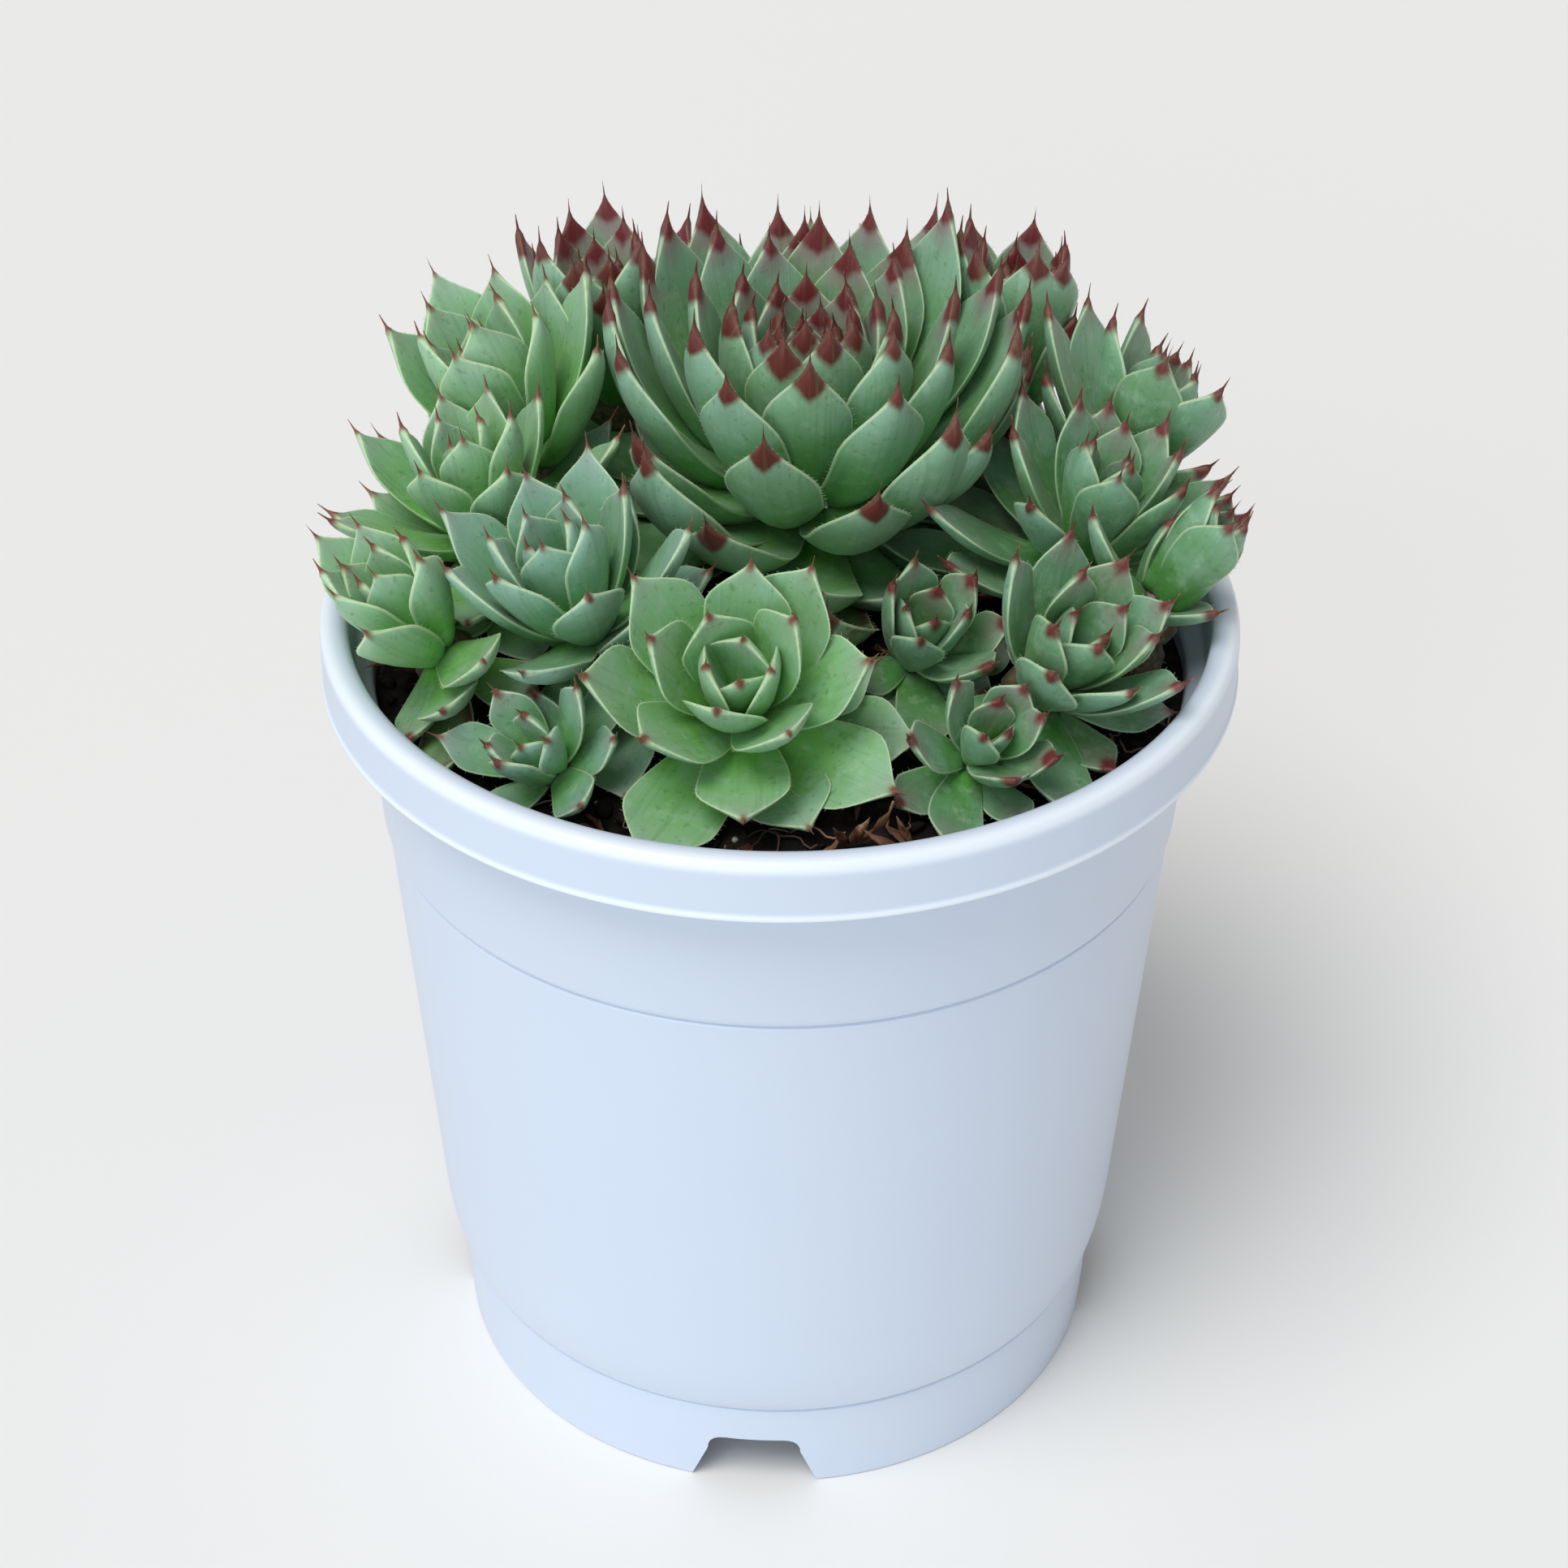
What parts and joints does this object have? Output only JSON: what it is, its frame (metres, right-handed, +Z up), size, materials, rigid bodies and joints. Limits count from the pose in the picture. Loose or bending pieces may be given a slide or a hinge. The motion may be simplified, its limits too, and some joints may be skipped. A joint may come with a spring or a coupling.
{
  "type": "potted common houseleek",
  "caption": "Clump of fleshy leaf rosettes, a large one ringed by smaller offsets, growing in dark soil in a pale tapered plastic pot with a rim band and a notched foot.",
  "frame": {"origin": "centre of the pot's foot, at the height it stands on", "axes": "+Z up along the pot's axis, -Y to the front that the picture shows, +X to the right"},
  "size_m": [0.13, 0.13, 0.1686],
  "materials": {
    "pot_plastic": "satin moulded plastic, pale bluish white",
    "potting_soil": null,
    "leaf_grey_green": null,
    "leaf_fresh_green": null,
    "leaf_blue_green": null,
    "leaf_dark_green": null
  },
  "bodies": {
    "root": {"pot": "pot_plastic", "soil": "potting_soil", "rosette_mother": "leaf_grey_green", "rosette_front": "leaf_fresh_green", "rosette_blue": "leaf_blue_green", "rosette_left": "leaf_fresh_green", "rosette_right": "leaf_dark_green", "rosette_green": "leaf_fresh_green", "rosette_east": "leaf_dark_green", "rosette_northwest": "leaf_grey_green", "rosette_northeast": "leaf_grey_green", "rosette_outer": "leaf_dark_green", "rosette_nook": "leaf_dark_green", "rosette_pup": "leaf_blue_green", "rosette_back": "leaf_fresh_green", "rosette_shade": "leaf_fresh_green", "rosette_tuck": "leaf_dark_green", "rosette_cleft": "leaf_dark_green"}
  },
  "joints": []
}
